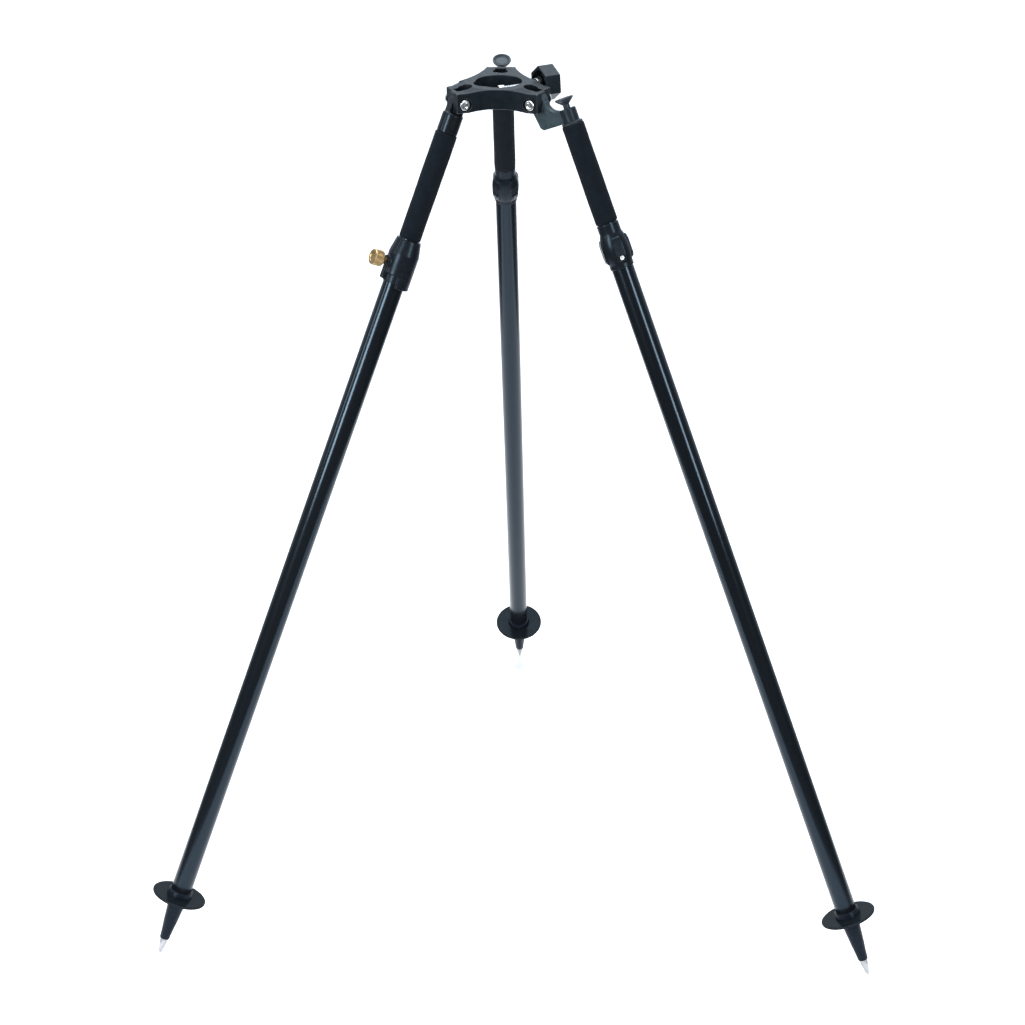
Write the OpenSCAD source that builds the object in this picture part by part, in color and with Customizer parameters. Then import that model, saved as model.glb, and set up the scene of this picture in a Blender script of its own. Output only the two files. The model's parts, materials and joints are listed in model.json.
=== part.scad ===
// Prism pole tripod: a ring head with three forked lugs and a pole clamp, one leg locked by a
// brass thumbscrew, two legs released by a thumb button, and step plates with steel spikes.
// Origin: on the ground under the ring axis. +Z up, +Y towards the rear leg. Millimetres.

/* [Stance] */
// lean of every leg from the vertical, degrees
leg_tilt = 23; // [15:0.5:30]
// height of the hinge bolts above the ground
pin_h = 1110; // [900:5:1300]
// distance of the hinge bolts from the ring axis
pin_r = 57; // [50:0.5:65]
// distance from the hinge bolt to the axis of a thumb release leg
arm_off = 37.5; // [34:0.5:45]

/* [Head casting] */
// radius of the round opening
ring_r = 29; // [26:0.5:30]
// radius of the pole that the seat is cut for
pole_r = 16; // [12.5:0.5:16]
// distance of the seated pole's axis from the ring axis
seat_off = 17.2; // [15:0.1:18]
// height of the casting above the hinge bolts
head_up = 18; // [15:0.5:22]
// depth of the casting below the hinge bolts
head_down = 7; // [6:0.5:10]
// distance from the ring axis to the middle of each concave side
side_r = 40.5; // [38:0.5:44]
// radius of the concave sides
side_curve = 140; // [100:5:200]
// distance from the ring axis to the end face of each lug
lug_end = 67; // [62:0.5:72]
// half width of a lug at its end face
lug_half = 18; // [15:0.5:21]
// width of the slot between two cheeks
slot_w = 14; // [12:0.5:16]
// depth by which the ends of the two front lugs lie lower than the ring
droop = 3.2; // [0:0.2:5]
// length by which a front lug's rear cheek is shorter than its front cheek
cheek_step = 4; // [0:0.5:6]
// radius of the round pocket at the root of each slot
pocket_r = 9.5; // [8:0.5:10]
// distance from the ring axis to the pocket's middle
pocket_at = 47; // [46:0.5:50]

/* [Hinges] */
// radius of a hinge bolt's shank
bolt_r = 4; // [3:0.5:5]
// thickness of a tongue or arm between the cheeks
tongue_w = 12; // [10:0.5:13]
// distance from the leg's middle plane to the seat under a bolt head
bolt_seat = 18.5; // [16:0.5:20]
// radius of a bolt head
bolt_head_r = 6.5; // [5:0.5:7.5]
// thickness of a bolt head
bolt_head_t = 2.9; // [2.5:0.1:5]

/* [Pole clamp] */
// height of the clamp screw above the hinge bolts
clamp_h = 7; // [7:0.5:11]
// distance from the ring axis to the face of the pad, on the knob's side when positive
pad_face = -0.9; // [-0.9:0.1:2]
// radius of the clamp screw
screw_r = 3.5; // [3:0.25:4]
// distance from the ring axis to the ring side of the knob
knob_at = 56; // [54:0.5:60]
// thickness of the knob
knob_t = 21; // [18:0.5:24]
// radius of the knob across its corners
knob_r = 22.5; // [21:0.5:25]

/* [Tubes] */
// outer radius of the lower tube
outer_r = 14; // [13.75:0.25:14.5]
// outer radius of the upper tube
inner_r = 12.5; // [11.5:0.25:12.5]
// wall thickness of the upper tube
inner_wall = 1; // [0.8:0.1:1.5]
// outer radius of a foam grip
grip_r = 14.2; // [13.5:0.1:15]
// length by which each leg extends
leg_travel = 600; // [400:10:700]

/* [Feet] */
// radius of a step plate
plate_r = 36.4; // [25:0.1:40]
// thickness of a step plate
plate_t = 3.2; // [2:0.1:5]
// height of a step plate above the spike's point, along the leg
plate_at = 84.6; // [84:0.2:100]
// radius of the spike's steel
spike_r = 5.2; // [4:0.1:7]

/* [Thumb buttons] */
// radius of the flared cap
cap_r = 11.8; // [10:0.1:14]
// height of the right cap's rim from the hinge bolt, along the leg
cap_right = -5; // [-8:0.5:0]
// height of the rear cap's rim from the hinge bolt, along the leg
cap_rear = 8; // [3:0.5:12]
// height of the right cap's funnel
funnel_right = 8.4; // [6:0.2:8.4]
// height of the rear cap's funnel
funnel_rear = 12; // [6:0.5:16]

/* [Hidden] */
$fn = 64;
az_left = 210;
az_right = 330;
az_rear = 90;
az_clamp = 30;
point_r = 1.5;
// the bridge that closes the top of each slot near its end
web_at = 60.5;
web_z = 12;
nut_t = 4.5;
outer_in = outer_r - 1.1;
inner_in = inner_r - inner_wall;
fit = 0.06;
gap = 0.1;
// a plain leg, measured along its axis from the hinge bolt
left_cap = -15;
fitting_r = 13.2;
left_grip_top = -40.5;
left_grip_end = -180;
left_collar_top = -181;
left_collar_low = -200;
left_collar_end = -243;
collar_r = 19.5;
collar_neck_r = 15.7;
shoe_r = 15.1;
shoe_room = 2.3;
left_screw = -213;
left_tube_top = -224;
// a thumb release leg, measured along its axis from the hinge bolt
neck_top = -18.5;
neck_end = -38;
neck_r = 10.3;
neck_flange_r = 13.2;
eye_r = 11.5;
grip_end = -166;
lock_top = -167;
lock_end = -224;
lock_mid = -200.5;
lock_swell = 17.9;
lock_arc = 60;
lock_neck_r = 13.9;
lock_foot_r = 15.2;
lock_flat = 18.3;
lock_screw_z = -211;
lock_tube_top = -196;
stem_r = 4.25;
flange_top = -27.5;
flange_end = -30;
chamber_r = 7.2;
chamber_top = -26.5;
chamber_end = -58;
tail_end = arm_off - chamber_r - 0.3;
spigot_end = -62;
push_r = 2.5;
knob_turn = 6;
knob_hollow = 17;
knob_dish = 14.5;
coil_r = 5.2;
coil_pitch = 3.2;
coils = 9;
// the lower tube and foot, measured up the leg from the spike's round point
socket_z = 21;
foot_r = 11.4;
hub_r = 8.9;
flange_r = 15.5;
sleeve_low_r = 17.2;
sleeve_top_r = 15.7;

// the middle of the spike's round point, along a leg whose axis is off from the hinge bolt
function point_z(off) = -(pin_h - point_r + off * sin(leg_tilt)) / cos(leg_tilt);
// the lower end of the upper tube: it still overlaps the lower tube when the leg is long
function inner_end(top) = top - leg_travel - 120;

// ---- placing ----------------------------------------------------------------
// z runs up the leg, x outwards and y along the hinge bolt
module at_leg(az) {
  translate([pin_r * cos(az), pin_r * sin(az), pin_h])
    rotate([0, 0, az])
      rotate([0, -leg_tilt, 0])
        children();
}

// the same, without the lean
module at_pin(az) {
  translate([pin_r * cos(az), pin_r * sin(az), pin_h])
    rotate([0, 0, az])
      children();
}

module on_arm(az) {
  at_leg(az) translate([arm_off, 0, 0]) children();
}

// a cylinder between two heights
module rod(r, z0, z1) {
  translate([0, 0, min(z0, z1)]) cylinder(r = r, h = abs(z1 - z0));
}

module cone(r0, z0, r1, z1) {
  translate([0, 0, z0]) cylinder(r1 = r0, r2 = r1, h = z1 - z0);
}

module tube(ro, ri, z0, z1) {
  difference() {
    rod(ro, z0, z1);
    rod(ri, z0 - 1, z1 + 1);
  }
}

// a cylinder along y
module cross(r, y0, y1) {
  translate([0, y1, 0]) rotate([90, 0, 0]) cylinder(r = r, h = y1 - y0);
}

// a cylinder along x
module along(r, x0, x1) {
  translate([x0, 0, 0]) rotate([0, 90, 0]) cylinder(r = r, h = x1 - x0);
}

// ---- head -------------------------------------------------------------------
module star_plan() {
  polygon([for (az = [az_rear, az_left, az_right]) for (s = [-1, 1])
    [lug_end * cos(az) - s * lug_half * sin(az), lug_end * sin(az) + s * lug_half * cos(az)]]);
}

// the ring's height, falling away to the ends of the front lugs
module droop_profile() {
  root = pocket_at - 5;
  rotate_extrude()
    polygon([[0, -head_down], [root, -head_down], [pin_r, -head_down - droop],
      [lug_end + 9, -head_down - droop], [lug_end + 9, head_up - droop],
      [pin_r, head_up - droop], [root, head_up], [0, head_up]]);
}

// the rear lug keeps the ring's height
module level_half() {
  translate([-lug_end, 0, -head_down]) cube([2 * lug_end, lug_end + 9, head_up + head_down]);
}

module front_half() {
  translate([-lug_end, -lug_end - 9, -head_down - 9])
    cube([2 * lug_end, lug_end + 9, head_up + head_down + 18]);
}

module lug_cuts(az) {
  rotate([0, 0, az]) {
    translate([pocket_at, -slot_w / 2, -40]) cube([lug_end, slot_w, 40 + web_z]);
    translate([pocket_at, -slot_w / 2, -40]) cube([web_at - pocket_at, slot_w, 80]);
    translate([pocket_at, 0, 0]) rod(pocket_r, -40, 40);
    translate([pin_r, 0, 0]) cross(bolt_r + 0.05, -40, 40);
    translate([pin_r, 0, 0]) cross(bolt_head_r + 1.7, bolt_seat, 40);
    translate([pin_r, 0, 0]) cross(bolt_head_r + 1.7, -40, -bolt_seat);
  }
}

// shortens one cheek of a lug; side is 1 for the cheek at positive y and -1 for the other
module cheek_cut(az, side) {
  rotate([0, 0, az])
    translate([lug_end - cheek_step, side > 0 ? 0 : -40, -40]) cube([20, 40, 80]);
}

module head_ring() {
  color("#262a30")
    translate([0, 0, pin_h])
      difference() {
        union() {
          difference() {
            union() {
              intersection() {
                translate([0, 0, -40]) linear_extrude(80) star_plan();
                droop_profile();
                front_half();
              }
              intersection() {
                translate([0, 0, -40]) linear_extrude(80) star_plan();
                level_half();
              }
            }
            for (az = [az_clamp, 150, 270]) {
              rotate([0, 0, az])
                translate([side_r + side_curve, 0, 0])
                  cylinder(r = side_curve, h = 100, center = true, $fn = 240);
            }
          }
          rotate([0, 0, az_clamp]) translate([0, 0, clamp_h]) along(7.6, 34, 47);
        }
        rod(ring_r, -20, 30);
        rotate([0, 0, az_left]) translate([seat_off, 0, 0]) rod(pole_r, -20, 30);
        rotate([0, 0, az_clamp]) translate([0, 0, clamp_h]) along(screw_r + fit, 20, 50);
        for (az = [az_rear, az_left, az_right]) lug_cuts(az);
        cheek_cut(az_left, -1);
        cheek_cut(az_right, 1);
      }
}

// socket head bolts through the lugs: heads towards the viewer's side of each front lug
module pivot_bolt() {
  difference() {
    union() {
      cross(bolt_r, -bolt_seat - nut_t - 1.5, bolt_seat + 1);
      cross(bolt_head_r, bolt_seat + 0.05, bolt_seat + bolt_head_t);
    }
    translate([0, bolt_seat + 1.2, 0]) rotate([-90, 0, 0]) cylinder(r = 3.4, h = 9, $fn = 6);
  }
}

module pivot_bolts() {
  color("#c9ccd0") {
    at_pin(az_left) pivot_bolt();
    at_pin(az_right) mirror([0, 1, 0]) pivot_bolt();
    at_pin(az_rear) pivot_bolt();
  }
}

module pivot_nut() {
  difference() {
    translate([0, -bolt_seat - 0.05, 0]) rotate([90, 0, 0]) cylinder(r = 7.2, h = nut_t, $fn = 6);
    cross(bolt_r + 0.05, -40, 0);
  }
}

module pivot_nuts() {
  color("#b9bcc0") {
    at_pin(az_left) pivot_nut();
    at_pin(az_right) mirror([0, 1, 0]) pivot_nut();
    at_pin(az_rear) pivot_nut();
  }
}

module pivot_washers() {
  t = (slot_w - tongue_w) / 2;
  color("#d8d6cc")
    for (az = [az_left, az_right, az_rear]) {
      at_pin(az)
        for (s = [-1, 1]) {
          difference() {
            cross(7.8, s * (slot_w - t) / 2 - t / 2 + 0.05, s * (slot_w - t) / 2 + t / 2 - 0.05);
            cross(bolt_r + 0.08, -40, 40);
          }
        }
    }
}

// ---- pole clamp -------------------------------------------------------------
module at_clamp() {
  translate([0, 0, pin_h + clamp_h]) rotate([0, 0, az_clamp]) children();
}

module clamp_pad() {
  color("#d5d7da")
    at_clamp()
      difference() {
        union() {
          along(5.2, pad_face, 6);
          translate([6, 0, 0]) rotate([0, 90, 0]) cylinder(r1 = 5.2, r2 = 4.3, h = 3);
        }
        along(screw_r + fit, 3, 20);
      }
}

module clamp_screw() {
  color("#cfd2d6")
    at_clamp() along(screw_r, 3.15, knob_at + knob_t - 5);
}

module clamp_insert() {
  color("#b9bdc2")
    at_clamp()
      difference() {
        union() {
          along(6, knob_at - 4.5, knob_at + knob_t - 5);
          along(7.4, knob_at - 4.5, knob_at - 1.5);
        }
        along(screw_r + 0.03, knob_at - 8, knob_at + knob_t - 3);
      }
}

// hexagonal knob, hollow on the ring's side round the insert
module clamp_knob() {
  color("#24272d")
    at_clamp()
      difference() {
        translate([knob_at, 0, 0])
          rotate([-knob_turn, 0, 0])
            rotate([0, 90, 0]) cylinder(r = knob_r, h = knob_t, $fn = 6);
        difference() {
          along(knob_hollow, knob_at - 1, knob_at + 12);
          along(9.2, knob_at - 2, knob_at + 13);
        }
        along(6 + 0.03, knob_at - 2, knob_at + knob_t - 4.5);
        along(knob_dish, knob_at + knob_t - 1.2, knob_at + knob_t + 2);
      }
}

// ---- the plain leg ----------------------------------------------------------
module left_fitting() {
  color("#1c1f24")
    at_leg(az_left)
      difference() {
        union() {
          cross(10, -tongue_w / 2, tongue_w / 2);
          translate([-10, -tongue_w / 2, left_cap - 3]) cube([20, tongue_w, 3 - left_cap]);
          cone(fitting_r, left_cap - 2, fitting_r - 1.7, left_cap);
          rod(fitting_r, left_grip_top + 0.4, left_cap - 2);
          rod(inner_in - gap, -64, left_grip_top + 1);
        }
        cross(bolt_r + fit, -20, 20);
        rod(6.5, -65, -34);
      }
}

module left_inner_tube() {
  color("#15171b")
    at_leg(az_left) tube(inner_r, inner_in, inner_end(left_collar_top), left_grip_top);
}

module left_grip() {
  color("#1e2129")
    at_leg(az_left) tube(grip_r, inner_r + gap, left_grip_end, left_grip_top - 0.1);
}

module left_guide_plug() {
  color("#e3e2dc")
    at_leg(az_left)
      difference() {
        union() {
          rod(outer_in - 0.1, inner_end(left_collar_top) - 14, inner_end(left_collar_top) - 0.2);
          rod(inner_in - gap, inner_end(left_collar_top) - 1, inner_end(left_collar_top) + 24);
        }
        rod(6, inner_end(left_collar_top) - 20, inner_end(left_collar_top) + 30);
      }
}

module left_collar() {
  color("#20242a")
    at_leg(az_left)
      difference() {
        union() {
          cone(collar_r, left_collar_low, collar_neck_r, left_collar_top);
          rod(collar_r, -227, left_collar_low);
          intersection() {
            rod(collar_r, left_collar_end, -226);
            translate([-40, -40, -260]) cube([46, 80, 60]);
          }
          rod(collar_neck_r, -238, -226);
          translate([0, 0, left_screw]) along(7, 8, collar_r + 2.7);
          translate([8, -4, -236]) cube([collar_r - 6.5, 8, 18]);
        }
        rod(inner_r + fit, -250, -170);
        rod(outer_r + fit, -250, left_tube_top + 0.1);
        translate([0, 0, left_screw]) along(3 + fit, 5, 30);
        translate([8, -6.6, left_screw - 8]) cube([shoe_r + shoe_room - 8, 13.2, 16]);
      }
}

// nylon shoe that the thumbscrew presses on the upper tube
module left_shoe() {
  color("#e6e4da")
    at_leg(az_left)
      difference() {
        intersection() {
          tube(shoe_r, inner_r + fit, left_screw - 7.5, left_screw + 7.5);
          translate([8, -6.2, left_screw - 10]) cube([10, 12.4, 20]);
        }
        translate([0, 0, left_screw]) along(2.05, shoe_r - 1.7, 20);
      }
}

module left_thumbscrew() {
  color("#b08a4a")
    at_leg(az_left)
      translate([0, 0, left_screw]) {
        along(2, shoe_r - 1.6, shoe_r + 1);
        along(3, shoe_r + 0.1, 30);
        along(5.4, 25.6, 30);
        translate([28.6, 0, 0]) rotate([0, 90, 0]) cylinder(r1 = 9.2, r2 = 10.2, h = 1);
        along(10.2, 29.6, 40.6);
        translate([40.6, 0, 0]) rotate([0, 90, 0]) cylinder(r1 = 10.2, r2 = 9.2, h = 1);
      }
}

// ---- lower tube and foot, shared by every leg -------------------------------
module outer_tube(top, off) {
  tube(outer_r, outer_in, point_z(off) + plate_at + plate_t + 8, top);
}

module foot(off) {
  z = point_z(off);
  difference() {
    union() {
      cone(6.4, z + socket_z, 9.2, z + 44);
      cone(9.2, z + 44, foot_r, z + 72);
      rod(foot_r, z + 72, z + 80);
      cone(foot_r, z + 80, flange_r, z + plate_at - 2);
      rod(flange_r, z + plate_at - 2, z + plate_at - 0.05);
      rod(hub_r, z + plate_at - 1, z + plate_at + plate_t + 1);
      cone(sleeve_low_r, z + plate_at + plate_t + 0.05, sleeve_top_r, z + plate_at + plate_t + 7.9);
      rod(outer_in - gap, z + plate_at + plate_t + 7, z + plate_at + plate_t + 40);
    }
    rod(3.6, z + 15, z + 57);
  }
}

module step_plate(off) {
  z = point_z(off) + plate_at;
  difference() {
    union() {
      rod(plate_r, z + 0.8, z + plate_t - 0.8);
      cone(plate_r - 0.8, z, plate_r, z + 0.8);
      cone(plate_r, z + plate_t - 0.8, plate_r - 0.8, z + plate_t);
    }
    rod(hub_r + gap, z - 1, z + plate_t + 1);
  }
}

module spike(off) {
  z = point_z(off);
  translate([0, 0, z]) sphere(r = point_r);
  cone(point_r, z, spike_r, z + 14);
  rod(spike_r, z + 14, z + socket_z - gap);
  rod(3.5, z + 20, z + 56);
}

module left_outer_tube() {
  color("#15171b") at_leg(az_left) outer_tube(left_tube_top, 0);
}

module left_foot() {
  color("#1d2025") at_leg(az_left) foot(0);
}

module left_step_plate() {
  color("#3a4650") at_leg(az_left) step_plate(0);
}

module left_spike() {
  color("#cfd0d4") at_leg(az_left) spike(0);
}

// ---- the thumb release legs -------------------------------------------------
// flat arm in the plane of the leg: bolt eye, web, and a tail let into the neck
module arm() {
  difference() {
    union() {
      cross(eye_r, -tongue_w / 2, tongue_w / 2);
      rotate([90, 0, 0])
        linear_extrude(9.6, center = true)
          difference() {
            polygon([[-eye_r, 0], [-6.5, -32], [-3, -35.4], [tail_end, -35.4],
              [tail_end, -18.8], [26.5, -3], [0, -3]]);
            translate([26.5, -4.2]) circle(r = 14.6);
          }
    }
    cross(bolt_r + fit, -20, 20);
  }
}

module neck() {
  difference() {
    union() {
      cone(neck_r, neck_top - 1, neck_r - 0.8, neck_top);
      rod(neck_r, -36, neck_top - 1);
      rod(neck_flange_r, neck_end, -36);
      rod(inner_in - gap, spigot_end, neck_end + 1);
    }
    rod(stem_r + fit, -40, -10);
    rod(chamber_r, chamber_end, chamber_top);
    rod(push_r + fit, -70, -40);
    translate([tail_end - arm_off - 12, -4.9, -35.5]) cube([12.1, 9.8, 17.4]);
  }
}

// flared cap, dished on top, that narrows as a funnel to a stem with a stop flange
module button(top, funnel) {
  rotate_extrude()
    difference() {
      polygon([[0, top], [cap_r - 0.4, top], [cap_r, top - 0.4], [cap_r, top - 1.6],
        [cap_r - 0.8, top - 0.3 * funnel], [8.8, top - 0.55 * funnel],
        [6.2, top - 0.8 * funnel], [stem_r, top - funnel], [stem_r, flange_top],
        [6.4, flange_top], [6.4, flange_end], [0, flange_end]]);
      translate([0, top + 28.4]) circle(r = 30);
    }
}

// coils of the return spring round the push rod
module spring() {
  for (i = [0 : coils - 1]) {
    translate([0, 0, flange_end - 1 - coil_pitch * i])
      rotate_extrude() translate([coil_r, 0]) circle(r = 0.7, $fn = 24);
  }
  for (i = [1 : coils - 1]) {
    rotate([0, 0, i % 2 * 180])
      translate([coil_r, 0, flange_end - 1 - coil_pitch * i])
        cylinder(r = 0.5, h = coil_pitch, $fn = 24);
  }
}

module push_rod() {
  rod(push_r, inner_end(lock_top) - 19.9, flange_end - gap);
}

// cone on the push rod's end: the spring draws it up into the collet, and a press frees it
module wedge() {
  z = inner_end(lock_top);
  difference() {
    union() {
      rod(5.3, z - 27, z - 24);
      cone(5.3, z - 24, 3.7, z - 9);
      rod(3.7, z - 9, z - 5);
    }
    rod(push_r + 0.03, z - 20, z);
  }
}

// slit nylon collet on the upper tube's end, spread by the cone to grip the lower tube
module brake_collet() {
  z = inner_end(lock_top);
  difference() {
    union() {
      rod(inner_in - gap, z - 1, z + 16);
      rod(outer_in - gap, z - 29, z - 0.2);
    }
    rod(push_r + fit, z - 10, z + 20);
    rod(3.9, z - 9.1, z + 1);
    cone(5.5, z - 24, 3.9, z - 9);
    rod(5.5, z - 30, z - 24);
    for (a = [0, 90]) {
      rotate([0, 0, a]) translate([-20, -0.8, z - 40]) cube([40, 1.6, 35]);
    }
  }
}

module arm_inner_tube() {
  tube(inner_r, inner_in, inner_end(lock_top), neck_end - 0.1);
}

module arm_grip() {
  tube(grip_r, inner_r + gap, grip_end, neck_end - 0.1);
}

// swelling body with four raised flats, moulded over the top of the lower tube
module lock_body() {
  difference() {
    union() {
      rod(lock_neck_r, lock_mid, lock_top);
      rod(lock_foot_r, lock_end, lock_mid);
      rotate_extrude()
        intersection() {
          translate([lock_swell - lock_arc, lock_mid]) circle(r = lock_arc);
          translate([0, lock_end]) square([30, lock_top - lock_end]);
        }
      for (a = [45, 135]) {
        rotate([0, 0, a])
          translate([-lock_flat, -6.5, lock_end + 9]) cube([2 * lock_flat, 13, 30]);
      }
    }
    rod(inner_r + fit, -240, -150);
    rod(outer_r + fit, -240, lock_tube_top + 0.1);
    lock_screw_holes();
  }
}

module lock_screw_holes() {
  for (a = [45, 135, 225, 315]) {
    rotate([0, 0, a]) translate([0, 0, lock_screw_z]) {
      along(1.25, lock_flat - 3.2, 30);
      along(2.7, lock_flat - 1, 30);
    }
  }
}

module lock_screws() {
  for (a = [45, 135, 225, 315]) {
    rotate([0, 0, a]) translate([0, 0, lock_screw_z]) {
      difference() {
        union() {
          along(1.2, lock_flat - 2.8, lock_flat);
          along(2.6, lock_flat - 0.9, lock_flat + 0.6);
        }
        translate([lock_flat + 0.3, 0, 0]) cube([1.4, 0.8, 3.4], center = true);
      }
    }
  }
}

module right_arm() {
  color("#56646c") at_leg(az_right) arm();
}

module right_neck() {
  color("#2a2f36") on_arm(az_right) neck();
}

module right_button() {
  color("#3a4047") on_arm(az_right) button(cap_right, funnel_right);
}

module right_spring() {
  color("#b9bcc0") on_arm(az_right) spring();
}

module right_push_rod() {
  color("#b9bcc0") on_arm(az_right) push_rod();
}

module right_wedge() {
  color("#b08a4a") on_arm(az_right) wedge();
}

module right_brake_collet() {
  color("#e6e4da") on_arm(az_right) brake_collet();
}

module right_inner_tube() {
  color("#15171b") on_arm(az_right) arm_inner_tube();
}

module right_grip() {
  color("#1e2129") on_arm(az_right) arm_grip();
}

module right_lock() {
  color("#20242a") on_arm(az_right) lock_body();
}

module right_lock_screws() {
  color("#c9ccd0") on_arm(az_right) lock_screws();
}

module right_outer_tube() {
  color("#15171b") on_arm(az_right) outer_tube(lock_tube_top, arm_off);
}

module right_foot() {
  color("#1d2025") on_arm(az_right) foot(arm_off);
}

module right_step_plate() {
  color("#3a4650") on_arm(az_right) step_plate(arm_off);
}

module right_spike() {
  color("#cfd0d4") on_arm(az_right) spike(arm_off);
}

module rear_arm() {
  color("#56646c") at_leg(az_rear) arm();
}

module rear_neck() {
  color("#2a2f36") on_arm(az_rear) neck();
}

module rear_button() {
  color("#3a4047") on_arm(az_rear) button(cap_rear, funnel_rear);
}

module rear_spring() {
  color("#b9bcc0") on_arm(az_rear) spring();
}

module rear_push_rod() {
  color("#b9bcc0") on_arm(az_rear) push_rod();
}

module rear_wedge() {
  color("#b08a4a") on_arm(az_rear) wedge();
}

module rear_brake_collet() {
  color("#e6e4da") on_arm(az_rear) brake_collet();
}

module rear_inner_tube() {
  color("#15171b") on_arm(az_rear) arm_inner_tube();
}

module rear_grip() {
  color("#1e2129") on_arm(az_rear) arm_grip();
}

module rear_lock() {
  color("#20242a") on_arm(az_rear) lock_body();
}

module rear_lock_screws() {
  color("#c9ccd0") on_arm(az_rear) lock_screws();
}

module rear_outer_tube() {
  color("#15171b") on_arm(az_rear) outer_tube(lock_tube_top, arm_off);
}

module rear_foot() {
  color("#1d2025") on_arm(az_rear) foot(arm_off);
}

module rear_step_plate() {
  color("#3a4650") on_arm(az_rear) step_plate(arm_off);
}

module rear_spike() {
  color("#cfd0d4") on_arm(az_rear) spike(arm_off);
}

head_ring();
pivot_bolts();
pivot_nuts();
pivot_washers();
clamp_pad();
clamp_screw();
clamp_insert();
clamp_knob();
left_fitting();
left_inner_tube();
left_grip();
left_guide_plug();
left_collar();
left_shoe();
left_thumbscrew();
left_outer_tube();
left_foot();
left_step_plate();
left_spike();
right_arm();
right_neck();
right_button();
right_spring();
right_push_rod();
right_wedge();
right_brake_collet();
right_inner_tube();
right_grip();
right_lock();
right_lock_screws();
right_outer_tube();
right_foot();
right_step_plate();
right_spike();
rear_arm();
rear_neck();
rear_button();
rear_spring();
rear_push_rod();
rear_wedge();
rear_brake_collet();
rear_inner_tube();
rear_grip();
rear_lock();
rear_lock_screws();
rear_outer_tube();
rear_foot();
rear_step_plate();
rear_spike();
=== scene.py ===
"""A prism pole tripod in a plain studio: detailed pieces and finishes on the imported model."""

import json
import math

import bmesh
import bpy
from mathutils import Matrix, Vector


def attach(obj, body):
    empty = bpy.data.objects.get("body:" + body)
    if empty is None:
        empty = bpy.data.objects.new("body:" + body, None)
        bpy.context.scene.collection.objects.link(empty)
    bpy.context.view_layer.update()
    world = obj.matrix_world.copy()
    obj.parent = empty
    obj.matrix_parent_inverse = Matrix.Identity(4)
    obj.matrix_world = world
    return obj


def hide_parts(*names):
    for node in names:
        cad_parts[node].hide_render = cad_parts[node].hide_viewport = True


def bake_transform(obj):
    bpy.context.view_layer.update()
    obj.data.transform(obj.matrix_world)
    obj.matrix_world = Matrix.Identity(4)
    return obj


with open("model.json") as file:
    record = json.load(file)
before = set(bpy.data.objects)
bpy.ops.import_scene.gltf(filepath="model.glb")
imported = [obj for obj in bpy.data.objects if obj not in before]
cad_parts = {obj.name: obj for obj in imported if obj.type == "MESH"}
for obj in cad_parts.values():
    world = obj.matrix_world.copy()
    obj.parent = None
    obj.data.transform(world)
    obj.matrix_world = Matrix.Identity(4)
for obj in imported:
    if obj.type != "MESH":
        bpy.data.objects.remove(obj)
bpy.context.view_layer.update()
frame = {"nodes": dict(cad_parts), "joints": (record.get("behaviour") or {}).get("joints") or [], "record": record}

TURN = 2 * math.pi
MM = 0.001
JOINTS = {joint["name"]: joint for joint in frame["joints"]}
BODY_OF = {n: b for b, nodes in frame["record"]["behaviour"]["bodies"].items() for n in nodes}
SLOT_OF = {p["node"]: p["material_slot"] for p in frame["record"]["subparts"]}


# ---- camera, floor and lights ---------------------------------------------------------------
CAMERA_BACK = 2.8395
CAMERA_UP = 1.9028
CAMERA_ROUND = 0.0459
CAMERA_YAW = -0.0046
CAMERA_PITCH = 0.4485
CAMERA_ROLL = -0.0074
CAMERA_LENS = 82.32


def add_camera():
    data = bpy.data.cameras.new("camera")
    data.sensor_width = 36
    data.lens = CAMERA_LENS
    data.clip_end = 50
    camera = bpy.data.objects.new("camera", data)
    bpy.context.scene.collection.objects.link(camera)
    place = Matrix.Rotation(CAMERA_ROUND, 4, "Z") @ Matrix.Translation((0, -CAMERA_BACK, CAMERA_UP))
    turn = Matrix.Rotation(CAMERA_YAW, 4, "Z") @ Matrix.Rotation(math.pi / 2 - CAMERA_PITCH, 4, "X")
    camera.matrix_world = place @ turn @ Matrix.Rotation(CAMERA_ROLL, 4, "Z")
    bpy.context.scene.camera = camera


def add_floors():
    """A wide pale floor to see, and below it the strip of white paper that lights the tripod."""
    edge = 12
    floor = add_floor("floor", [(-edge, -edge), (edge, -edge), (edge, edge), (-edge, edge)], 0)
    floor.visible_diffuse = floor.visible_glossy = floor.visible_shadow = False
    near, bend, far = -0.85, 0.9, 7.5
    strip, wide = 0.95, 3.2
    corners = [(-strip, near), (strip, near), (strip, bend), (wide, far), (-wide, far), (-strip, bend)]
    add_floor("paper", corners, -2 * MM).visible_camera = False


def add_floor(name, corners, height):
    """A flat white sheet from (x, y) corners, left out of every body."""
    bm = bmesh.new()
    bm.faces.new([bm.verts.new((x, y, height)) for x, y in corners])
    mesh = bpy.data.meshes.new(name)
    bm.to_mesh(mesh)
    bm.free()
    floor = bpy.data.objects.new(name, mesh)
    bpy.context.scene.collection.objects.link(floor)
    material = bpy.data.materials.new(name)
    material.use_nodes = True
    shader = material.node_tree.nodes["Principled BSDF"]
    shader.inputs["Base Color"].default_value = (0.92, 0.94, 0.97, 1)
    shader.inputs["Roughness"].default_value = 0.9
    shader.inputs["Specular IOR Level"].default_value = 0.1
    mesh.materials.append(material)
    return floor


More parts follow.
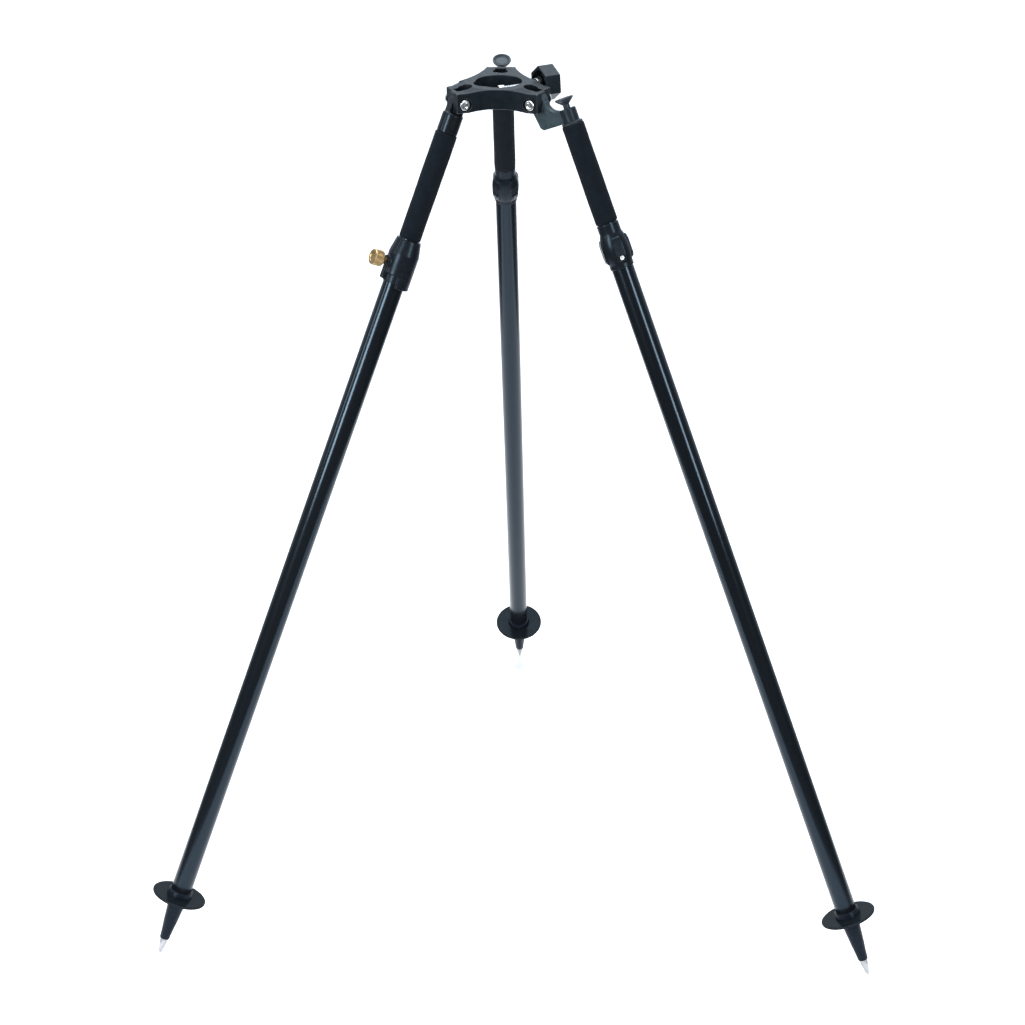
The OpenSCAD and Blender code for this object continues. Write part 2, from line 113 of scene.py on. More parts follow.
def add_softbox(name, place, target, width, height, power):
    """A rectangular light of that size in metres and power in watts, turned to its target."""
    data = bpy.data.lights.new(name, "AREA")
    data.shape = "RECTANGLE"
    data.size = width
    data.size_y = height
    data.energy = power
    data.color = (1.0, 0.98, 0.94)
    light = bpy.data.objects.new(name, data)
    bpy.context.scene.collection.objects.link(light)
    way = Vector(target) - Vector(place)
    light.matrix_world = Matrix.Translation(place) @ way.to_track_quat("-Z", "Y").to_matrix().to_4x4()


def add_lights():
    """Tall softboxes that draw a streak along each tube, one from above, and a soft ceiling."""
    left, right = (-0.1, 0, 0.75), (0.1, 0, 0.75)
    upper_left, head = (-0.1, 0, 0.85), (0, 0, 1.1)
    add_softbox("left_softbox", (-1.55, -2.0, 1.68), left, width=0.75, height=1.3, power=72)
    add_softbox("right_softbox", (1.7, -1.9, 1.68), right, width=0.6, height=1.3, power=46)
    add_softbox("side_softbox", (-2.35, -0.75, 1.75), upper_left, width=0.5, height=1.1, power=12)
    add_softbox("top_softbox", (0, 0.9, 2.6), head, width=1.6, height=0.9, power=20)
    data = bpy.data.lights.new("ceiling", "SUN")
    data.energy = 2.5
    data.angle = math.radians(50)
    data.specular_factor = 0.3
    ceiling = bpy.data.objects.new("ceiling", data)
    bpy.context.scene.collection.objects.link(ceiling)


# the room's light: its strength from the back wall and from elsewhere, the way to that wall, and
# how nearly a ray has to point that way to meet the wall at its full strength
WALL_LIGHT = 1.3
SIDE_LIGHT = 0.16
WALL_WAY = (0, 0.9, 0.43)
WALL_EDGE = 0.8


def add_world():
    """A white room that lights the tripod mostly from its back wall, and looks white all round."""
    world = bpy.data.worlds.new("studio")
    world.use_nodes = True
    bpy.context.scene.world = world
    nodes, links = world.node_tree.nodes, world.node_tree.links
    background = nodes["Background"]
    background.inputs["Color"].default_value = (0.79, 0.90, 1.0, 1)
    way = nodes.new("ShaderNodeTexCoord")
    back = nodes.new("ShaderNodeVectorMath")
    back.operation = "DOT_PRODUCT"
    back.inputs[1].default_value = WALL_WAY
    fade = nodes.new("ShaderNodeMapRange")
    fade.inputs["From Min"].default_value = 0.0
    fade.inputs["From Max"].default_value = WALL_EDGE
    fade.inputs["To Min"].default_value = SIDE_LIGHT
    fade.inputs["To Max"].default_value = WALL_LIGHT
    links.new(way.outputs["Generated"], back.inputs[0])
    links.new(back.outputs["Value"], fade.inputs["Value"])
    seen = nodes.new("ShaderNodeMix")
    seen.inputs["B"].default_value = WALL_LIGHT
    links.new(nodes.new("ShaderNodeLightPath").outputs["Is Camera Ray"], seen.inputs["Factor"])
    links.new(fade.outputs["Result"], seen.inputs["A"])
    links.new(seen.outputs["Result"], background.inputs["Strength"])


# ---- finishes -------------------------------------------------------------------------------
# tints of the mirror-like reflections: bluish on paint and plastic, none on metal
COOL = (0.50, 0.74, 1.0, 1)
PLAIN = (1, 1, 1, 1)


class Finish:
    """A procedural material: mottled colour, uneven roughness and a fine bump."""

    def __init__(self, slot, colour, rough, metal=0.0, specular=0.5):
        self.material = bpy.data.materials.new(slot)
        self.material.use_nodes = True
        self.nodes = self.material.node_tree.nodes
        self.links = self.material.node_tree.links
        self.shader = self.nodes["Principled BSDF"]
        self.shader.inputs["Metallic"].default_value = metal
        self.shader.inputs["Specular IOR Level"].default_value = specular
        self.shader.inputs["Specular Tint"].default_value = PLAIN if metal else COOL
        self.colour = colour
        self.rough = rough
        self.tone = None
        self.where = self.nodes.new("ShaderNodeTexCoord").outputs["Object"]
        self.bump = None

    def stretched(self, stretch):
        """Object coordinates, stretched so that a pattern runs along or round the piece."""
        if stretch == (1, 1, 1):
            return self.where
        mapping = self.nodes.new("ShaderNodeMapping")
        mapping.inputs["Scale"].default_value = stretch
        self.links.new(self.where, mapping.inputs["Vector"])
        return mapping.outputs["Vector"]

    def noise(self, size, detail, stretch=(1, 1, 1)):
        """A cloudy pattern with patches of that size in metres."""
        node = self.nodes.new("ShaderNodeTexNoise")
        node.inputs["Scale"].default_value = 1 / size
        node.inputs["Detail"].default_value = detail
        self.links.new(self.stretched(stretch), node.inputs["Vector"])
        return node.outputs["Fac"]

    def ranged(self, value, low, high, to_low, to_high):
        """The value with low to high stretched over to_low to to_high."""
        node = self.nodes.new("ShaderNodeMapRange")
        node.inputs["From Min"].default_value = low
        node.inputs["From Max"].default_value = high
        node.inputs["To Min"].default_value = to_low
        node.inputs["To Max"].default_value = to_high
        self.links.new(value, node.inputs["Value"])
        return node.outputs["Result"]

    def mixed(self, factor, first, second):
        """A blend of two colours, each a tuple or another node's output."""
        node = self.nodes.new("ShaderNodeMix")
        node.data_type = "RGBA"
        self.links.new(factor, node.inputs[0])
        for socket, value in ((node.inputs[6], first), (node.inputs[7], second)):
            if isinstance(value, tuple):
                socket.default_value = (*value, 1)
            else:
                self.links.new(value, socket)
        return node.outputs[2]

    def mottle(self, size, amount, stretch=(1, 1, 1)):
        """Colour that drifts by amount either way over patches of that size."""
        dark = tuple(c * (1 - amount) for c in self.colour)
        light = tuple(min(1, c * (1 + amount)) for c in self.colour)
        drift = self.ranged(self.noise(size, 4, stretch), 0.35, 0.65, 0, 1)
        self.tone = self.mixed(drift, dark, light)
        return self

    def worn(self, colour, amount, sharpness=0.06):
        """Edges rubbed towards colour."""
        edge = self.nodes.new("ShaderNodeNewGeometry").outputs["Pointiness"]
        rub = self.ranged(edge, 0.5 + sharpness * 0.3, 0.5 + sharpness, 0, amount)
        self.tone = self.mixed(rub, self.tone, colour)
        return self

    def uneven(self, size, spread, stretch=(1, 1, 1)):
        """Roughness that drifts by spread either way over patches of that size."""
        low, high = self.rough - spread, self.rough + spread
        rough = self.ranged(self.noise(size, 3, stretch), 0.3, 0.7, low, high)
        self.links.new(rough, self.shader.inputs["Roughness"])
        return self

    def raised(self, height, depth):
        """Adds a bump of that depth in metres from a height pattern."""
        node = self.nodes.new("ShaderNodeBump")
        node.inputs["Distance"].default_value = depth
        node.inputs["Strength"].default_value = 1.0
        self.links.new(height, node.inputs["Height"])
        if self.bump is not None:
            self.links.new(self.bump, node.inputs["Normal"])
        self.bump = node.outputs["Normal"]
        return self

    def cells(self, size):
        """A pattern of round cells of that size in metres."""
        node = self.nodes.new("ShaderNodeTexVoronoi")
        node.inputs["Scale"].default_value = 1 / size
        self.links.new(self.where, node.inputs["Vector"])
        return node.outputs["Distance"]

    def done(self):
        """Joins colour and bump to the shader."""
        self.links.new(self.tone, self.shader.inputs["Base Color"])
        if self.bump is not None:
            self.links.new(self.bump, self.shader.inputs["Normal"])
        return self.material


# stretches of a pattern along a piece's z axis and round it
ALONG = (1, 1, 0.04)
ROUND = (0.05, 0.05, 1)


def painted(slot, colour, rough, specular=0.14, bare=(0.25, 0.26, 0.27), wear=0.35):
    finish = Finish(slot, colour, rough, specular=specular).mottle(9 * MM, 0.18)
    finish.worn(bare, wear).uneven(5 * MM, 0.05)
    return finish.raised(finish.noise(0.9 * MM, 2), 0.02 * MM).done()


def moulded(slot, colour, rough, specular=0.16):
    finish = Finish(slot, colour, rough, specular=specular).mottle(7 * MM, 0.15)
    finish.worn(tuple(3 * c for c in colour), 0.4).uneven(4 * MM, 0.05)
    return finish.raised(finish.noise(0.5 * MM, 3), 0.012 * MM).done()


def turned_steel(slot, colour, rough):
    finish = Finish(slot, colour, rough, metal=1.0).mottle(3 * MM, 0.1).uneven(2 * MM, 0.06)
    return finish.raised(finish.noise(0.35 * MM, 2, ROUND), 0.01 * MM).done()


def coated_tube(slot):
    finish = Finish(slot, (0.0050, 0.0062, 0.0080), 0.17, specular=0.32).mottle(20 * MM, 0.15, ALONG)
    finish.uneven(6 * MM, 0.025, ALONG)
    return finish.raised(finish.noise(2.5 * MM, 2, ALONG), 0.006 * MM).done()


def foam(slot):
    finish = Finish(slot, (0.0045, 0.0060, 0.0090), 0.78, specular=0.09).mottle(12 * MM, 0.14)
    finish.uneven(8 * MM, 0.06)
    finish.raised(finish.cells(0.75 * MM), 0.10 * MM)
    finish.shader.inputs["Sheen Weight"].default_value = 0.03
    finish.shader.inputs["Sheen Roughness"].default_value = 0.5
    return finish.raised(finish.noise(6 * MM, 3), 0.12 * MM).done()


def brass(slot):
    finish = Finish(slot, (0.34, 0.235, 0.11), 0.42, metal=1.0).mottle(2.5 * MM, 0.16)
    finish.worn((0.52, 0.40, 0.22), 0.35).uneven(1.5 * MM, 0.08)
    return finish.raised(finish.noise(0.3 * MM, 2), 0.01 * MM).done()


def nylon(slot):
    finish = Finish(slot, (0.72, 0.71, 0.66), 0.45).mottle(6 * MM, 0.05).uneven(4 * MM, 0.05)
    return finish.raised(finish.noise(0.6 * MM, 2), 0.01 * MM).done()


FINISHES = {
    "head_casting": painted("head_casting", (0.0060, 0.0085, 0.0110), 0.36),
    "hinge_steel": turned_steel("hinge_steel", (0.66, 0.68, 0.70), 0.24),
    "hinge_washer": nylon("hinge_washer"),
    "clamp_steel": turned_steel("clamp_steel", (0.66, 0.68, 0.70), 0.27),
    "insert_steel": turned_steel("insert_steel", (0.58, 0.60, 0.62), 0.30),
    "knob_plastic": moulded("knob_plastic", (0.0065, 0.0085, 0.0110), 0.34),
    "tube_black": coated_tube("tube_black"),
    "foam_grip": foam("foam_grip"),
    "foot_casting": moulded("foot_casting", (0.0055, 0.0072, 0.0110), 0.30, specular=0.12),
    "step_plate": painted("step_plate", (0.0055, 0.0080, 0.0105), 0.15, specular=0.035, wear=0.1),
    "spike_steel": turned_steel("spike_steel", (0.42, 0.42, 0.44), 0.38),
    "fitting_black": moulded("fitting_black", (0.0070, 0.0085, 0.0105), 0.20),
    "nylon_white": nylon("nylon_white"),
    "lock_black": moulded("lock_black", (0.0070, 0.0088, 0.0120), 0.27),
    "knurled_brass": brass("knurled_brass"),
    "arm_grey": painted("arm_grey", (0.030, 0.046, 0.054), 0.42),
    "neck_black": painted("neck_black", (0.0120, 0.0160, 0.0210), 0.32),
    "button_metal": painted("button_metal", (0.030, 0.037, 0.044), 0.26),
}


# ---- shapes, in millimetres -----------------------------------------------------------------
def rounded(corners, closed=True, steps=4):
    """An outline from (x, y, fillet) corners, each turned into an arc."""
    outline = []
    for i, (x, y, fillet) in enumerate(corners):
        here = Vector((x, y))
        if fillet == 0 or (not closed and i in (0, len(corners) - 1)):
            outline.append(here)
            continue
        back = Vector(corners[i - 1][:2]) - here
        ahead = Vector(corners[(i + 1) % len(corners)][:2]) - here
        half = back.angle(ahead) / 2
        reach = min(fillet / math.tan(half), 0.45 * back.length, 0.45 * ahead.length)
        back.normalize()
        ahead.normalize()
        centre = here + (back + ahead).normalized() * reach / math.cos(half)
        start = here + back * reach - centre
        end = here + ahead * reach - centre
        first = math.atan2(start.y, start.x)
        sweep = (math.atan2(end.y, end.x) - first + math.pi) % TURN - math.pi
        for k in range(steps + 1):
            angle = first + sweep * k / steps
            outline.append(centre + start.length * Vector((math.cos(angle), math.sin(angle))))
    return outline


def revolve(bm, profile, closed=True, steps=96, shape=None):
    """Sweeps a (radius, height) profile round z; shape(radius, height, angle) may bend the radius."""
    rings = []
    for radius, height in profile:
        if radius < 1e-6:
            rings.append([bm.verts.new((0, 0, height))])
            continue
        ring = []
        for k in range(steps):
            angle = TURN * k / steps
            r = shape(radius, height, angle) if shape else radius
            ring.append(bm.verts.new((r * math.cos(angle), r * math.sin(angle), height)))
        rings.append(ring)
    pairs = list(zip(rings, rings[1:]))
    if closed:
        pairs.append((rings[-1], rings[0]))
    for low, high in pairs:
        for k in range(steps):
            corner = [low[k % len(low)], low[(k + 1) % steps % len(low)]]
            corner += [high[(k + 1) % steps % len(high)], high[k % len(high)]]
            face = list(dict.fromkeys(corner))
            if len(face) > 2:
                bm.faces.new(face)
    return bm


def smoothstep(x):
    """0 below 0 and 1 above 1, with a smooth rise between."""
    x = min(1, max(0, x))
    return x * x * (3 - 2 * x)


def hexed(angle):
    """Distance to a hexagon's side, as a share of its corner radius."""
    return math.cos(math.pi / 6) / math.cos(angle % (math.pi / 3) - math.pi / 6)


def helix_tube(bm, radius, wire, pitch, turns, top, steps=28, sides=10):
    """A round wire wound downwards from a height."""
    rings = []
    for i in range(int(turns * steps) + 1):
        angle = TURN * i / steps
        out = Vector((math.cos(angle), math.sin(angle), 0))
        centre = out * radius + Vector((0, 0, top - pitch * i / steps))
        ring = []
        for k in range(sides):
            a = TURN * k / sides
            ring.append(bm.verts.new(centre + (out * math.cos(a) + Vector((0, 0, math.sin(a)))) * wire))
        rings.append(ring)
    for low, high in zip(rings, rings[1:]):
        for k in range(sides):
            bm.faces.new((low[k], low[(k + 1) % sides], high[(k + 1) % sides], high[k]))
    bm.faces.new(rings[0])
    bm.faces.new(rings[-1])
    return bm


def piece(name, bm, place, node, crease=32, bend=None):
    """Finishes a mesh made in millimetres as the piece that stands for a CAD node."""
    bmesh.ops.scale(bm, vec=(MM, MM, MM), verts=bm.verts)
    bmesh.ops.recalc_face_normals(bm, faces=bm.faces)
    mesh = bpy.data.meshes.new(name)
    bm.to_mesh(mesh)
    bm.free()
    mesh.shade_smooth()
    mesh.set_sharp_from_angle(angle=math.radians(crease))
    return settle(bpy.data.objects.new(name, mesh), place, node, bend)


def settle(obj, place, node, bend=None):
    """Gives a piece its place, finish and body for a CAD node; given bend, it gets no body and keeps its place in
    its mesh.
    """
    bpy.context.scene.collection.objects.link(obj)
    obj.data.materials.clear()
    obj.data.materials.append(FINISHES[SLOT_OF[node]])
    obj.matrix_world = place
    if bend:
        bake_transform(obj)
    else:
        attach(obj, BODY_OF[node])
    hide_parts(node)
    return obj


def cast(name, node, place, grain=0.45, passes=8):
    """The node's shape with its edges rounded as in a casting: a fine skin, smoothed."""
    mesh = frame["nodes"][node].data.copy()
    mesh.transform(place.inverted())
    blank = bpy.data.objects.new(name + "_blank", mesh)
    bpy.context.scene.collection.objects.link(blank)
    skin = blank.modifiers.new("skin", "REMESH")
    skin.mode = "VOXEL"
    skin.voxel_size = grain * MM
    edges = blank.modifiers.new("edges", "SMOOTH")
    edges.factor = 0.5
    edges.iterations = passes
    bpy.context.view_layer.update()
    ready = blank.evaluated_get(bpy.context.evaluated_depsgraph_get())
    done = bpy.data.meshes.new_from_object(ready)
    done.name = name
    bpy.data.objects.remove(blank)
    done.shade_smooth()
    return settle(bpy.data.objects.new(name, done), place, node)


def span(node, place):
    """Lowest and highest corner of a CAD node in a frame of its own, in millimetres."""
    back = place.inverted()
    points = [back @ v.co for v in frame["nodes"][node].data.vertices]
    low = Vector(min(p[i] for p in points) for i in range(3))
    high = Vector(max(p[i] for p in points) for i in range(3))
    return low / MM, high / MM


def turned_frame(place, middle, axis):
    """A frame whose z lies along one of a place's axes, through a point of it in millimetres."""
    turn = Vector(axis).to_track_quat("Z", "Y").to_matrix().to_4x4()
    return place @ Matrix.Translation(middle * MM) @ turn


# ---- legs -----------------------------------------------------------------------------------
class Leg:
    """One leg's name and its two frames, which have z up the tube and y along the hinge bolt.

    The frame hinge starts on the bolt, and the frame axis on the line down the tube's middle.
    """

    def __init__(self, name):
        self.name = name
        hinge = JOINTS[name + "_leg_hinge"]
        z = -Vector(JOINTS[name + "_leg_extend"]["axis"]).normalized()
        y = -Vector(hinge["axis"]).normalized()
        x = y.cross(z)
        turn = Matrix((x, y, z)).transposed().to_4x4()
        self.hinge = Matrix.Translation(hinge["pos_m"]) @ turn
        low, high = span(name + "_outer_tube", self.hinge)
        self.tube_r = (high.y - low.y) / 2
        off = (low.x + high.x) / 2
        self.axis = self.hinge @ Matrix.Translation((off * MM, 0, 0))

    def node(self, part):
        return f"{self.name}_{part}"

    def span(self, part):
        return span(self.node(part), self.axis)

    def turned(self, part, corners, closed=True, **options):
        bm = revolve(bmesh.new(), rounded(corners, closed), closed, **options)
        return piece(self.node(part) + "_piece", bm, self.axis, self.node(part))


def add_tubes(leg):
    """Plain tubes with softened ends."""
    wall, lip = 1.0, 0.35
    for part in ("inner_tube", "outer_tube"):
        low, high = leg.span(part)
        r = high.y
        corners = [(r - wall, low.z, lip), (r, low.z, lip), (r, high.z, lip), (r - wall, high.z, lip)]
        leg.turned(part, corners, steps=128)


def add_grip(leg):
    """A foam sleeve: squeezed in at both ends, a little swollen and never quite even."""
    low, high = leg.span("grip")
    skin, end, squeeze, dip, rings = high.y, 2.4, 0.8, 0.16, 150
    bore = skin - 1.6
    length = high.z - low.z
    profile = [(bore, low.z), (bore, high.z)]
    for i in range(rings + 1):
        z = high.z - length * i / rings
        edge = min(high.z - z, z - low.z)
        lip = end - math.sqrt(max(0, end**2 - (end - min(edge, end)) ** 2))
        profile.append((max(bore, skin - squeeze * lip), z))

    def shape(r, z, a):
        if r <= bore:
            return r
        sway = 0.10 * math.sin(a * 2 + z * 0.045) + 0.06 * math.sin(a * 5 - z * 0.11)
        return r - dip + sway

    bm = revolve(bmesh.new(), profile, shape=shape)
    grip = piece(leg.node("grip") + "_piece", bm, leg.axis, leg.node("grip"), crease=60)


def add_foot(leg):
    """The tapering foot, the plate that is stepped on and the steel spike."""
    low, high = leg.span("foot")
    plate_low, plate_high = leg.span("step_plate")
    steel_low, steel_high = leg.span("spike")
    point = steel_low.z
    socket = low.z
    under, over = plate_low.z, plate_high.z
    flange, hub, sleeve = 15.5, 8.9, high.y
    neck, plug = leg.tube_r + 1.7, leg.tube_r - 1.25
    corners = [
        (0, socket + 2, 0), (steel_high.y + 0.2, socket + 2, 0), (steel_high.y + 0.2, socket, 0.2),
        (6.6, socket, 0.6), (7.6, socket + 12, 8), (9.3, socket + 26, 30), (11.4, socket + 49, 20),
        (11.4, under - 8, 6), (flange, under - 2.6, 1), (flange, under, 0.3), (hub, under, 0),
        (hub, over, 0), (sleeve, over, 0.3), (sleeve - 0.4, over + 2.4, 0.8), (neck, over + 7.6, 0.8),
        (plug, over + 7.9, 0.2), (plug, high.z, 1), (0, high.z, 0),
    ]
    leg.turned("foot", corners, closed=False)
    rim = plate_high.y
    inner, edge = hub + 0.1, rim - 3.2
    corners = [
        (inner, under, 0), (inner + 1, under, 0), (edge, under, 0), (rim, under, 1.3),
        (rim, over, 1.3), (edge, over, 0), (inner + 1, over, 0), (inner, over, 0),
    ]
    leg.turned("step_plate", corners, steps=144)
    r = steel_high.y
    shank, shoulder = 3.5, socket - 0.1
    corners = [
        (0, point, 0), (1.3, point, 1.2), (2.1, point + 3, 6), (r, point + 15.5, 0.8),
        (r, shoulder, 0.4), (shank, shoulder, 0), (shank, steel_high.z, 0.3), (0, steel_high.z, 0),
    ]
    leg.turned("spike", corners, closed=False)


# ---- head -----------------------------------------------------------------------------------
def add_head():
    """The head ring as a painted casting."""
    cast("head_casting", "head_ring", Matrix.Identity(4), grain=0.6, passes=6)


def add_hinges(legs):
    """Socket head bolts with threaded ends and lock nuts, one of each on every leg."""
    reach = 40
    bolts = bmesh.new()
    nuts = bmesh.new()
    for leg in legs:
        back = leg.hinge.inverted()
        points = [back @ v.co / MM for v in frame["nodes"]["pivot_bolts"].data.vertices]
        head_side = -1 if leg.name == "right" else 1
        along = [head_side * p.y for p in points if p.length < reach]
        way = turned_frame(leg.hinge, Vector((0, 0, 0)), (0, head_side, 0))
        add_bolt(bolts, way, min(along), max(along))
        add_nut(nuts, way, min(along))
    piece("pivot_bolts_piece", bolts, Matrix.Identity(4), "pivot_bolts")
    piece("pivot_nuts_piece", nuts, Matrix.Identity(4), "pivot_nuts")


def join(bm, part, way):
    """Adds a part made in millimetres to bm, through a frame in metres."""
    to_mm = Matrix.Scale(1 / MM, 4) @ way @ Matrix.Scale(MM, 4)
    bmesh.ops.transform(part, matrix=to_mm, verts=part.verts)
    scratch = bpy.data.meshes.new("scratch")
    part.to_mesh(scratch)
    part.free()
    bm.from_mesh(scratch)
    bpy.data.meshes.remove(scratch)


def add_bolt(bm, way, low, high):
    """A bolt from its threaded end at low to its head at high."""
    shank, head, depth, socket, bottom = 4.0, 6.5, 2.85, 3.3, high - 1.7
    pitch, crest, length, per_turn = 1.25, 0.45, 8, 8
    seat, thread = high - depth, low + length
    profile = rounded([
        (0, bottom, 0), (socket, bottom, 0), (socket, high - 0.4, 0), (socket + 0.7, high, 0.2),
        (head, high, 1.1), (head, seat, 0.3), (shank, seat, 0), (shank, thread, 0),
    ], closed=False)
    count = int(length / pitch * per_turn)
    profile += [(shank, thread - length * i / count) for i in range(1, count + 1)]
    profile += [(shank - 1, low - 0.4), (0, low - 0.4)]

    def shape(r, z, a):
        if z > bottom - 0.5 and r <= socket:
            return r * hexed(a)
        if z < thread and r == shank:
            wave = abs(((z - low) / pitch + a / TURN) % 1 - 0.5) * 2
            return r - crest * wave
        return r

    part = revolve(bmesh.new(), profile, closed=False, steps=72, shape=shape)
    join(bm, part, way)


def add_nut(bm, way, end):
    """A lock nut with a round crown, near the threaded end of its bolt."""
    far, depth = end + 1.45, 4.5
    seat, hexagon = far + depth, far + 2.2
    side, bore, crown = 7.2, 3.7, 5.6
    corners = [
        (bore, far, 0), (crown, far, 1.2), (6.0, hexagon - 0.2, 0.3), (side, hexagon, 0),
        (side, seat, 0), (bore, seat, 0),
    ]

    def shape(r, z, a):
        if r < side:
            return r
        chamfer = 6.5 + (seat - z) * 1.7 if z > seat - 0.6 else side
        return min(side * hexed(a), chamfer)

    part = revolve(bmesh.new(), rounded(corners), steps=72, shape=shape)
    join(bm, part, way)


def add_clamp():
    """The knob, its steel insert and the threaded screw with its pad."""
    travel = JOINTS["clamp_travel"]
    out = Vector(travel["axis"]).normalized()
    turn = JOINTS["clamp_turn"]
    spot = Vector(turn["pos_m"])
    middle = spot - out * spot.dot(out)
    way = Matrix.Translation(middle) @ out.to_track_quat("Z", "Y").to_matrix().to_4x4()
    low, high = span("clamp_screw", way)
    r, pitch, crest, per_turn, lead = high.y, 1.25, 0.55, 8, 0.5
    root, length = r - 0.9, high.z - low.z
    count = int(length / pitch * per_turn)
    profile = [(0, low.z), (root, low.z)]
    profile += [(r, low.z + lead + (length - 2 * lead) * i / count) for i in range(count + 1)]
    profile += [(root, high.z), (0, high.z)]

    def thread(radius, z, a):
        if radius < r:
            return radius
        return r - crest * abs((z / pitch - a / TURN) % 1 - 0.5) * 2

    bm = revolve(bmesh.new(), profile, closed=False, steps=48, shape=thread)
    piece("clamp_screw_piece", bm, way, "clamp_screw")
    # the pad ends short of the solid that stands for it, to stay clear of the casting
    low, high = span("clamp_pad", way)
    r, back = high.y, high.z - 0.8
    corners = [(0, low.z, 0), (r, low.z, 0.9), (r, back - 2.2, 0.5), (r - 0.9, back, 0.5), (0, back, 0)]
    bm = revolve(bmesh.new(), rounded(corners, False), closed=False)
    piece("clamp_pad_piece", bm, way, "clamp_pad")
    low, high = span("clamp_insert", way)
    flange, bore, barrel, collar = high.y, 3.55, 6.0, low.z + 3
    corners = [
        (bore, low.z, 0.3), (flange, low.z, 0.6), (flange, collar, 0.4), (barrel, collar, 0),
        (barrel, high.z, 0.3), (bore, high.z, 0),
    ]
    bm = revolve(bmesh.new(), rounded(corners))
    piece("clamp_insert_piece", bm, way, "clamp_insert")
    cast("clamp_knob_piece", "clamp_knob", way, grain=0.5, passes=8)


# ---- thumbscrew leg -------------------------------------------------------------------------
def add_left_leg(leg):
    """The fitting, the collar and the knurled brass thumbscrew."""
    cast("left_fitting_piece", "left_fitting", leg.axis, grain=0.42, passes=8)
    cast("left_collar_piece", "left_collar", leg.axis, grain=0.42, passes=10)
    low, high = leg.span("thumbscrew")
    way = turned_frame(leg.axis, Vector((0, 0, (low.z + high.z) / 2)), (1, 0, 0))
    low, high = span("left_thumbscrew", way)
    tip, rim, head, shank, boss = low.z, high.z, high.y, 3, 5.4
    face, chamfer, rings = rim - 13, 1.2, 44
    ridges, depth, slant = 30, 0.42, 3.6
    knurled = rim - face - 2 * chamfer
    profile = rounded([
        (0, tip, 0), (2, tip, 0.3), (2, tip + 2, 0), (shank, tip + 2.4, 0), (shank, face - 3, 0.2),
        (boss, face - 2.6, 0.6), (boss, face, 0.5), (head - 1.0, face, 0.5), (head, face + chamfer, 0),
    ], False)
    profile += [Vector((head, face + chamfer + knurled * i / rings)) for i in range(1, rings + 1)]
    profile += rounded([
        (head, rim - chamfer, 0), (head - 1.0, rim, 0.4), (6.6, rim, 0.4), (5.6, rim - 1.2, 0.6),
        (0, rim - 1.2, 0),
    ], False)

    def knurl(r, z, a):
        if r < head - 0.01:
            return r
        lean = slant * (z - face) / (rim - face)
        first = abs((ridges * a / TURN + lean) % 1 - 0.5) * 2
        second = abs((ridges * a / TURN - lean) % 1 - 0.5) * 2
        return r - depth * max(first, second)

    bm = revolve(bmesh.new(), profile, closed=False, steps=240, shape=knurl)
    piece("left_thumbscrew_piece", bm, way, "left_thumbscrew")


# ---- thumb release legs ---------------------------------------------------------------------
def add_release_leg(leg):
    """The hinge arm, the neck with its button and spring, and the lock below the grip."""
    cast(leg.node("arm_piece"), leg.node("arm"), leg.hinge, grain=0.42, passes=7)
    add_neck(leg)
    add_button(leg)
    add_lock(leg)
    low, high = leg.span("spring")
    wire, turns = 0.7, 8
    radius = high.y - wire
    pitch = (high.z - low.z - 2 * wire) / turns
    bm = helix_tube(bmesh.new(), radius, wire, pitch, turns, high.z - wire)
    top, bottom = (tuple(leg.axis @ Vector((0, 0, z * MM))) for z in (high.z, low.z))
    bend = (leg.node("release"), leg.node("upper_leg"), top, bottom)
    piece(leg.node("spring_piece"), bm, leg.axis, leg.node("spring"), bend=bend)


def add_neck(leg):
    """The hollow neck that the button slides in, plugged into the tube."""
    low, high = leg.span("neck")
    top, flange, body = high.z, high.y, 10.3
    shelf = top - 19.5
    stem, chamber, rod, plug = 4.31, 7.2, 2.6, leg.tube_r - 2.6
    corners = [
        (stem, top, 0.3), (body - 0.8, top, 0.7), (body, top - 1.6, 1.2), (body, shelf + 3, 1.4),
        (flange, shelf + 2.2, 0.6), (flange, shelf, 0.4), (plug, shelf, 0), (plug, low.z, 0.5),
        (rod, low.z, 0), (rod, low.z + 4, 0), (chamber, low.z + 4, 0),
        (chamber, top - 8, 0), (stem, top - 8, 0),
    ]
    leg.turned("neck", corners)


def add_button(leg):
    """A dished cap that narrows as a funnel to its stem."""
    low, high = leg.span("button")
    top, rim, stem, flange = high.z, high.y, 4.25, 6.4
    funnel = {"right": 8.4, "rear": 12.0}[leg.name]
    corners = [
        (0, top - 2.6, 0), (rim * 0.62, top - 2.3, 6), (rim - 1.7, top - 0.2, 1.2),
        (rim - 0.3, top, 0.5), (rim, top - 1.5, 0.5), (rim - 0.8, top - 0.3 * funnel, 1),
        (8.8, top - 0.55 * funnel, 4), (6.2, top - 0.8 * funnel, 4), (stem, top - funnel, 0.5),
        (stem, low.z + 2.5, 0), (flange, low.z + 2.5, 0.3), (flange, low.z, 0.3), (0, low.z, 0),
    ]
    leg.turned("button", corners, closed=False)


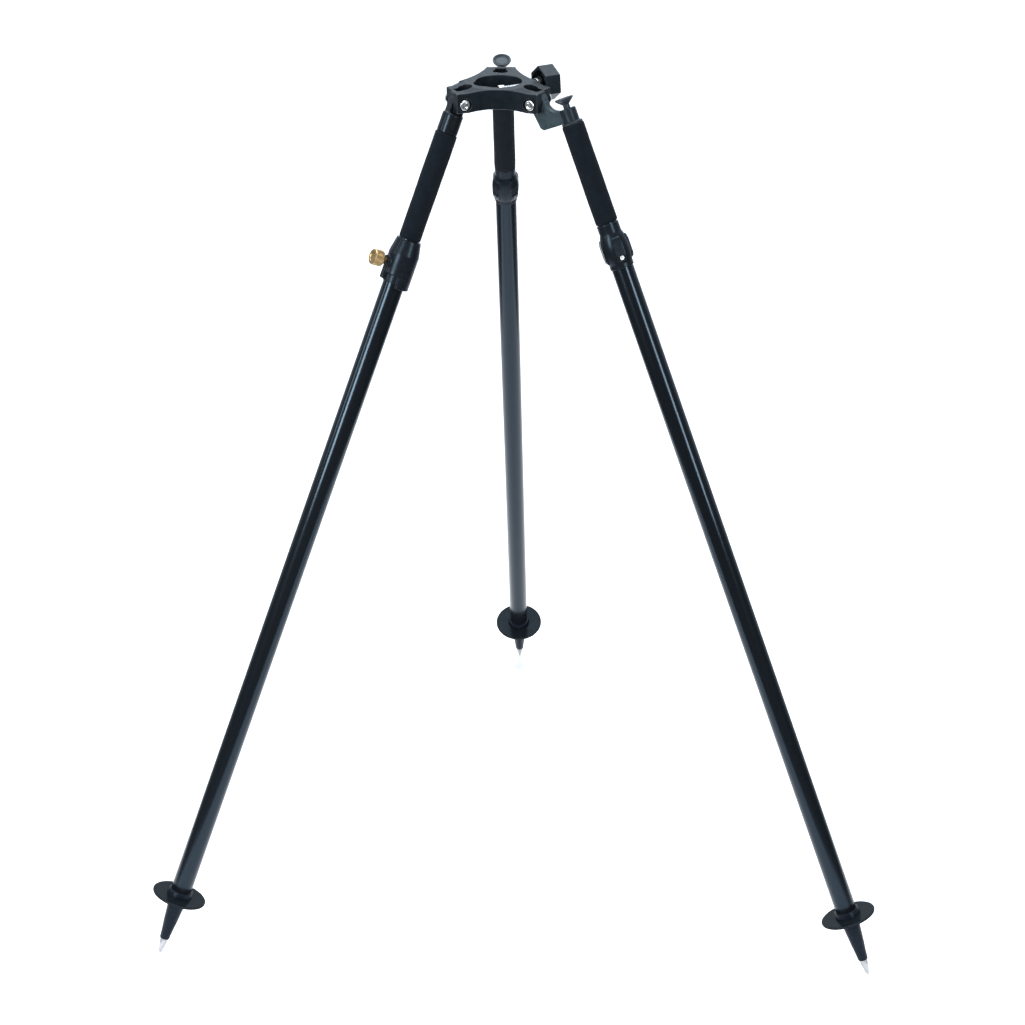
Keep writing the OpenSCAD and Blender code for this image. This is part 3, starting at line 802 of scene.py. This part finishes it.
def add_lock(leg):
    """A swelling housing with a ledge in its bore and four raised flats, each with a screw recess."""
    low, high = leg.span("lock")
    middle, swell, arc, collar, foot = low.z + 23.5, 17.9, 60.0, 13.9, 15.2
    bore, seat, ledge = leg.tube_r - 1.44, leg.tube_r + 0.06, low.z + 28
    flat, half, bottom, top = 18.3, 6.5, low.z + 9, low.z + 39
    screw_z, recess, sink = low.z + 13, 2.75, 1.0
    rings, lip, proud, ramp, recess_ramp = 118, 0.6, 0.9, 0.9, 0.5

    def barrel(z):
        bulge = swell - arc + math.sqrt(arc**2 - (z - middle) ** 2)
        end = min(high.z - z, z - low.z, lip)
        return max(bulge, collar if z > middle else foot) - (lip - math.sqrt(lip**2 - (lip - end) ** 2))

    profile = [(bore, high.z)]
    for i in range(rings + 1):
        z = high.z - (high.z - low.z) * i / rings
        profile.append((barrel(z), z))
    profile += [(seat, low.z), (seat, ledge), (bore, ledge)]

    def shape(r, z, a):
        if r <= seat + 0.01 or r < collar - lip + 0.01:
            return r
        off = (a % (math.pi / 2)) - math.pi / 4
        across = flat * math.tan(off)
        fade = smoothstep((half - abs(across)) / ramp + 0.5)
        fade *= smoothstep((z - bottom) / ramp + 0.5) * smoothstep((top - z) / ramp + 0.5)
        r += fade * (min(flat, r + proud) / math.cos(off) - r)
        reach = math.hypot(across, z - screw_z)
        return r - sink * smoothstep((recess - reach) / recess_ramp + 0.5)

    bm = revolve(bmesh.new(), profile, steps=288, shape=shape)
    piece(leg.node("lock_piece"), bm, leg.axis, leg.node("lock"), crease=60)


def finish_kept_nodes():
    """Better finishes for the CAD nodes that stay as they are."""
    for name, obj in frame["nodes"].items():
        obj.data.materials.clear()
        obj.data.materials.append(FINISHES[SLOT_OF[name]])


def build():
    legs = [Leg(name) for name in ("left", "right", "rear")]
    finish_kept_nodes()
    add_head()
    add_hinges(legs)
    add_clamp()
    for leg in legs:
        add_tubes(leg)
        add_grip(leg)
        add_foot(leg)
        if leg.name == "left":
            add_left_leg(leg)
        else:
            add_release_leg(leg)


bpy.context.scene.view_settings.view_transform = "Standard"
add_camera()
add_world()
add_floors()
add_lights()
build()
